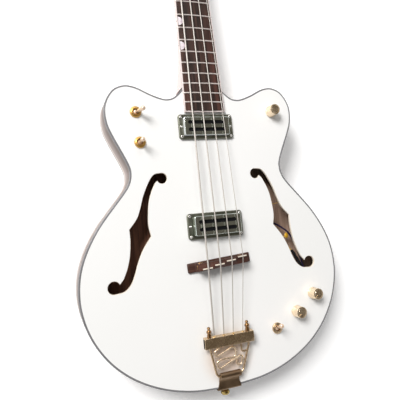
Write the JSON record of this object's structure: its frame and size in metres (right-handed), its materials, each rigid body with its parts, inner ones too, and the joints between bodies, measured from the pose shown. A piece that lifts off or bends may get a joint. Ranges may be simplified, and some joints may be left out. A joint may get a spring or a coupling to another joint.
{
  "type": "electric bass guitar",
  "caption": "Hollow-body electric bass guitar with two cutaways, two f-holes, two pickups, a wooden bridge, a trapeze tailpiece and a two-a-side headstock.",
  "frame": {"origin": "on the flat back face, on the centre line, under the bridge line where the string scale ends", "axes": "+X to the treble side, +Y along the neck to the headstock, +Z out of the top"},
  "size_m": [0.4048, 1.2421, 0.1096],
  "materials": {
    "white_lacquer": "white gloss lacquer over maple",
    "grey_binding": "grey edge binding",
    "inner_wood": "raw wood",
    "rosewood": "oiled rosewood",
    "cream_binding": "pale cream binding",
    "bone": "polished bone",
    "black_plastic": "satin black plastic",
    "ring_metal": "dark olive-grey plated metal",
    "chrome": "smoky chrome",
    "steel": "nickel wound and plain steel",
    "gold_plate": "gold plate"
  },
  "bodies": {
    "root": {"back_binding": "grey_binding", "body_back": "white_lacquer", "body_rim": "white_lacquer", "body_top": "white_lacquer", "bridge_foot": "rosewood", "fretboard": "rosewood", "fretboard_binding": "cream_binding", "neck": "white_lacquer", "neck_block": "inner_wood", "nut": "bone", "output_jack": "chrome", "pickup_core_bridge": "black_plastic", "pickup_core_neck": "black_plastic", "pickup_cover_bridge": "chrome", "pickup_cover_neck": "chrome", "pickup_ring_bridge": "ring_metal", "pickup_ring_neck": "ring_metal", "pot_horn": "chrome", "pot_lower": "chrome", "pot_upper": "chrome", "strap_button_heel": "gold_plate", "strap_button_tail": "gold_plate", "string_1": "steel", "string_2": "steel", "string_3": "steel", "string_4": "steel", "switch_body_horn": "gold_plate", "switch_body_lower": "gold_plate", "switch_body_waist": "gold_plate", "tail_block": "inner_wood", "tailpiece_bar": "gold_plate", "tailpiece_bracket": "gold_plate", "tailpiece_frame": "gold_plate", "tailpiece_wire": "gold_plate", "tone_bar_bass": "inner_wood", "tone_bar_treble": "inner_wood", "top_binding": "grey_binding", "truss_rod": "steel", "truss_rod_cover": "black_plastic", "tuner_housing_1": "gold_plate", "tuner_housing_2": "gold_plate", "tuner_housing_3": "gold_plate", "tuner_housing_4": "gold_plate"},
    "tuner_key_1": {"tuner_key_1": "gold_plate"},
    "tuner_post_1": {"tuner_post_1": "gold_plate"},
    "tuner_key_2": {"tuner_key_2": "gold_plate"},
    "tuner_post_2": {"tuner_post_2": "gold_plate"},
    "tuner_key_3": {"tuner_key_3": "gold_plate"},
    "tuner_post_3": {"tuner_post_3": "gold_plate"},
    "tuner_key_4": {"tuner_key_4": "gold_plate"},
    "tuner_post_4": {"tuner_post_4": "gold_plate"},
    "knob_horn": {"knob_horn": "gold_plate"},
    "knob_upper": {"knob_upper": "gold_plate"},
    "knob_lower": {"knob_lower": "gold_plate"},
    "switch_lever_horn": {"switch_lever_horn": "gold_plate"},
    "switch_lever_waist": {"switch_lever_waist": "gold_plate"},
    "switch_lever_lower": {"switch_lever_lower": "gold_plate"},
    "bridge_saddle": {"bridge_saddle": "rosewood"},
    "bridge_wheel_bass": {"bridge_wheel_bass": "gold_plate"},
    "bridge_wheel_treble": {"bridge_wheel_treble": "gold_plate"}
  },
  "joints": [
    {"name": "tuner_key_1_turn", "type": "hinge", "parent": "root", "child": "tuner_key_1", "pos_m": [-0.028, 0.90914, -0.00844], "axis": [-1, 0, 0], "continuous": true},
    {"name": "tuner_post_1_turn", "type": "hinge", "parent": "root", "child": "tuner_post_1", "pos_m": [-0.028, 0.91278, 0.01051], "axis": [0, 0.1884, 0.9821], "continuous": true},
    {"name": "tuner_key_2_turn", "type": "hinge", "parent": "root", "child": "tuner_key_2", "pos_m": [-0.029, 0.97396, -0.02088], "axis": [-1, 0, 0], "continuous": true},
    {"name": "tuner_post_2_turn", "type": "hinge", "parent": "root", "child": "tuner_post_2", "pos_m": [-0.029, 0.9776, -0.00192], "axis": [0, 0.1884, 0.9821], "continuous": true},
    {"name": "tuner_key_3_turn", "type": "hinge", "parent": "root", "child": "tuner_key_3", "pos_m": [0.029, 0.97396, -0.02088], "axis": [1, 0, 0], "continuous": true},
    {"name": "tuner_post_3_turn", "type": "hinge", "parent": "root", "child": "tuner_post_3", "pos_m": [0.029, 0.9776, -0.00192], "axis": [0, 0.1884, 0.9821], "continuous": true},
    {"name": "tuner_key_4_turn", "type": "hinge", "parent": "root", "child": "tuner_key_4", "pos_m": [0.028, 0.90914, -0.00844], "axis": [1, 0, 0], "continuous": true},
    {"name": "tuner_post_4_turn", "type": "hinge", "parent": "root", "child": "tuner_post_4", "pos_m": [0.028, 0.91278, 0.01051], "axis": [0, 0.1884, 0.9821], "continuous": true},
    {"name": "knob_horn_turn", "type": "hinge", "parent": "root", "child": "knob_horn", "pos_m": [0.1145, 0.22794, 0.05], "axis": [0, 0, 1], "range_deg": [-150, 150]},
    {"name": "knob_upper_turn", "type": "hinge", "parent": "root", "child": "knob_upper", "pos_m": [0.1525, -0.06506, 0.05], "axis": [0, 0, 1], "range_deg": [-150, 150]},
    {"name": "knob_lower_turn", "type": "hinge", "parent": "root", "child": "knob_lower", "pos_m": [0.12, -0.08806, 0.05], "axis": [0, 0, 1], "range_deg": [-150, 150]},
    {"name": "switch_horn_tilt", "type": "hinge", "parent": "root", "child": "switch_lever_horn", "pos_m": [-0.106, 0.22794, 0.049], "axis": [0, 1, 0], "range_deg": [-36, 0]},
    {"name": "switch_waist_tilt", "type": "hinge", "parent": "root", "child": "switch_lever_waist", "pos_m": [-0.103, 0.18294, 0.049], "axis": [0, 1, 0], "range_deg": [-18, 18]},
    {"name": "switch_lower_tilt", "type": "hinge", "parent": "root", "child": "switch_lever_lower", "pos_m": [0.0835, -0.10756, 0.049], "axis": [-0.9397, -0.342, 0], "range_deg": [-36, 0]},
    {"name": "bridge_wheel_bass_turn", "type": "hinge", "parent": "root", "child": "bridge_wheel_bass", "pos_m": [-0.03093, -0.00205, 0.05], "axis": [0, 0, 1], "range_deg": [0, 1350]},
    {"name": "bridge_saddle_height", "type": "slide", "parent": "root", "child": "bridge_saddle", "axis": [0, 0, 1], "range_m": [-0.003, 0]},
    {"name": "bridge_wheel_treble_turn", "type": "hinge", "parent": "root", "child": "bridge_wheel_treble", "pos_m": [0.03093, 0.00205, 0.05], "axis": [0, 0, 1], "range_deg": [0, 1350]}
  ],
  "couplings": [
    {"joint": "tuner_post_1_turn", "follows": "tuner_key_1_turn", "ratio": 0.05},
    {"joint": "tuner_post_2_turn", "follows": "tuner_key_2_turn", "ratio": 0.05},
    {"joint": "tuner_post_3_turn", "follows": "tuner_key_3_turn", "ratio": -0.05},
    {"joint": "tuner_post_4_turn", "follows": "tuner_key_4_turn", "ratio": -0.05},
    {"joint": "bridge_saddle_height", "follows": "bridge_wheel_bass_turn", "m_per_rad": -0.00012732},
    {"joint": "bridge_wheel_treble_turn", "follows": "bridge_wheel_bass_turn", "ratio": 1}
  ]
}
